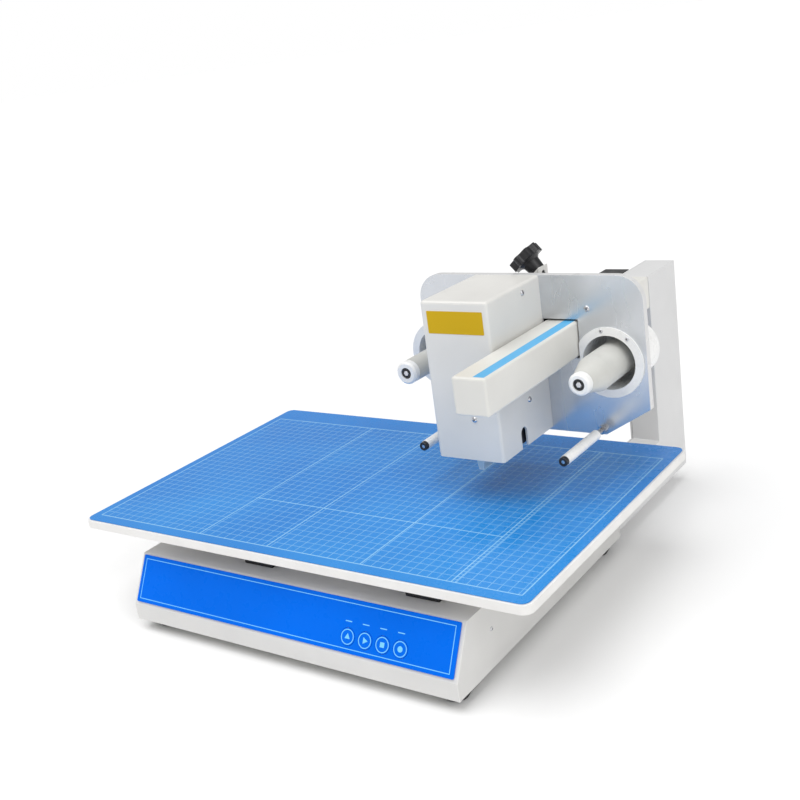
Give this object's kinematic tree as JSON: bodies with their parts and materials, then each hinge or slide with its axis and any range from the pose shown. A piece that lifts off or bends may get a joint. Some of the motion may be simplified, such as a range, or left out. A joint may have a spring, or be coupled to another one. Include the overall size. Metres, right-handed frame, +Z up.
{
  "type": "hot foil stamper",
  "caption": "Desktop digital hot foil stamper with a sliding gridded table, a C-frame arm, and a head that carries foil reels, guide rollers and a lifting print head.",
  "frame": {"origin": "on the ground under the middle of the machine's box", "axes": "+Z up, +X to the operator's right, -Y towards the operator"},
  "size_m": [0.54, 0.53, 0.3425],
  "materials": {
    "white_paint": "satin white powder coat",
    "beige_paint": "satin warm white paint",
    "plate_paint": "glossy pale grey-white paint",
    "blue_panel": "blue membrane film",
    "blue_mat": "glossy blue film with a white grid",
    "board_edge": "satin off-white",
    "black_plastic": "satin black",
    "white_plastic": "satin white",
    "grey_plastic": "satin grey",
    "rubber": "matte black",
    "steel": "turned",
    "aluminium": "machined",
    "brass": "machined",
    "black_metal": "black anodised",
    "board_green": "solder mask",
    "ceramic": "glazed ceramic"
  },
  "bodies": {
    "base": {"arm_beam": "beige_paint", "arm_motor": "black_metal", "base_bottom": "grey_plastic", "base_shell": "white_paint", "cable_tray": "black_plastic", "control_board": "board_green", "control_panel": "blue_panel", "foot_front_left": "rubber", "foot_front_right": "rubber", "foot_rear_left": "rubber", "foot_rear_right": "rubber", "frame_column": "white_paint", "frame_cover": "white_paint", "idler_post": "steel", "power_entry": "black_plastic", "power_supply": "aluminium", "rail_bed_left": "black_metal", "rail_bed_right": "black_metal", "table_belt": "black_plastic", "table_motor": "black_metal", "table_rail_front": "steel", "table_rail_rear": "steel"},
    "table": {"table_board": "board_edge", "table_mat": "blue_mat", "rail_block_front": "aluminium", "rail_block_rear": "aluminium", "belt_clamp": "aluminium"},
    "head": {"head_plate": "plate_paint", "head_carriage": "black_metal", "arm_nut": "brass", "head_cover": "white_paint", "supply_cup": "white_plastic", "takeup_cup": "white_plastic", "takeup_motor": "black_metal", "roller_shaft_left": "steel", "roller_shaft_right": "steel", "knob_bracket": "white_paint", "lift_motor": "black_metal", "lift_mount": "aluminium", "guide_rod_left": "steel", "guide_rod_right": "steel"},
    "print_head": {"print_carriage": "aluminium", "heat_sink": "aluminium", "thermal_head": "ceramic"},
    "drive_pulley": {"drive_pulley": "aluminium"},
    "idler_pulley": {"idler_pulley": "aluminium"},
    "arm_screw": {"arm_screw": "steel"},
    "lift_screw": {"lift_screw": "steel"},
    "takeup_reel": {"takeup_spindle": "grey_plastic", "takeup_cap": "white_plastic"},
    "supply_reel": {"supply_spindle": "grey_plastic", "supply_cap": "white_plastic"},
    "roller_left": {"roller_left": "white_plastic"},
    "roller_right": {"roller_right": "white_plastic"},
    "clamp_knob": {"clamp_knob": "black_plastic"},
    "key_1": {"key_1": "blue_panel"},
    "key_2": {"key_2": "blue_panel"},
    "key_3": {"key_3": "blue_panel"},
    "key_4": {"key_4": "blue_panel"},
    "power_rocker": {"power_rocker": "black_plastic"}
  },
  "joints": [
    {"name": "table_x", "type": "slide", "parent": "base", "child": "table", "axis": [1, 0, 0], "range_m": [-0.125, 0.125]},
    {"name": "head_y", "type": "slide", "parent": "base", "child": "head", "axis": [0, 1, 0], "range_m": [-0.13, 0.09]},
    {"name": "lift_z", "type": "slide", "parent": "head", "child": "print_head", "axis": [0, 0, 1], "range_m": [-0.028, 0]},
    {"name": "drive_pulley_spin", "type": "hinge", "parent": "base", "child": "drive_pulley", "pos_m": [-0.17, -0.08, 0.09], "axis": [0, 0, 1], "range_deg": [-792.38, 792.38]},
    {"name": "idler_pulley_spin", "type": "hinge", "parent": "base", "child": "idler_pulley", "pos_m": [0.17, -0.08, 0.09], "axis": [0, 0, 1], "range_deg": [-792.38, 792.38]},
    {"name": "arm_screw_spin", "type": "hinge", "parent": "base", "child": "arm_screw", "pos_m": [0.1825, 0, 0.252], "axis": [0, 1, 0], "range_deg": [-3250, 4690]},
    {"name": "lift_screw_spin", "type": "hinge", "parent": "head", "child": "lift_screw", "pos_m": [0.1265, -0.049, 0.166], "axis": [0, 0, 1], "range_deg": [0, 2530]},
    {"name": "takeup_spin", "type": "hinge", "parent": "head", "child": "takeup_reel", "pos_m": [0.039, 0.012, 0.23], "axis": [0, 1, 0], "continuous": true},
    {"name": "supply_spin", "type": "hinge", "parent": "head", "child": "supply_reel", "pos_m": [0.2315, 0.012, 0.23], "axis": [0, 1, 0], "continuous": true},
    {"name": "roller_left_spin", "type": "hinge", "parent": "head", "child": "roller_left", "pos_m": [0.062, -0.038, 0.16], "axis": [0, 1, 0], "continuous": true},
    {"name": "roller_right_spin", "type": "hinge", "parent": "head", "child": "roller_right", "pos_m": [0.2184, -0.038, 0.16], "axis": [0, 1, 0], "continuous": true},
    {"name": "clamp_knob_turn", "type": "hinge", "parent": "head", "child": "clamp_knob", "pos_m": [0.149, 0.0385, 0.3137], "axis": [-0.6756, 0, 0.7373], "range_deg": [-180, 180]},
    {"name": "key_1_press", "type": "slide", "parent": "base", "child": "key_1", "axis": [0, 0.875, -0.4841], "range_m": [0, 0.0004], "stiffness_N_per_m": 400},
    {"name": "key_2_press", "type": "slide", "parent": "base", "child": "key_2", "axis": [0, 0.875, -0.4841], "range_m": [0, 0.0004], "stiffness_N_per_m": 400},
    {"name": "key_3_press", "type": "slide", "parent": "base", "child": "key_3", "axis": [0, 0.875, -0.4841], "range_m": [0, 0.0004], "stiffness_N_per_m": 400},
    {"name": "key_4_press", "type": "slide", "parent": "base", "child": "key_4", "axis": [0, 0.875, -0.4841], "range_m": [0, 0.0004], "stiffness_N_per_m": 400},
    {"name": "power_rocker_tilt", "type": "hinge", "parent": "base", "child": "power_rocker", "pos_m": [-0.096, 0.066, 0.045], "axis": [1, 0, 0], "range_deg": [-14, 0]}
  ],
  "couplings": [
    {"joint": "drive_pulley_spin", "follows": "table_x", "rad_per_m": 110.5},
    {"joint": "idler_pulley_spin", "follows": "table_x", "rad_per_m": 110.5},
    {"joint": "arm_screw_spin", "follows": "head_y", "rad_per_m": -628.32},
    {"joint": "lift_screw_spin", "follows": "lift_z", "rad_per_m": -1570.8}
  ]
}
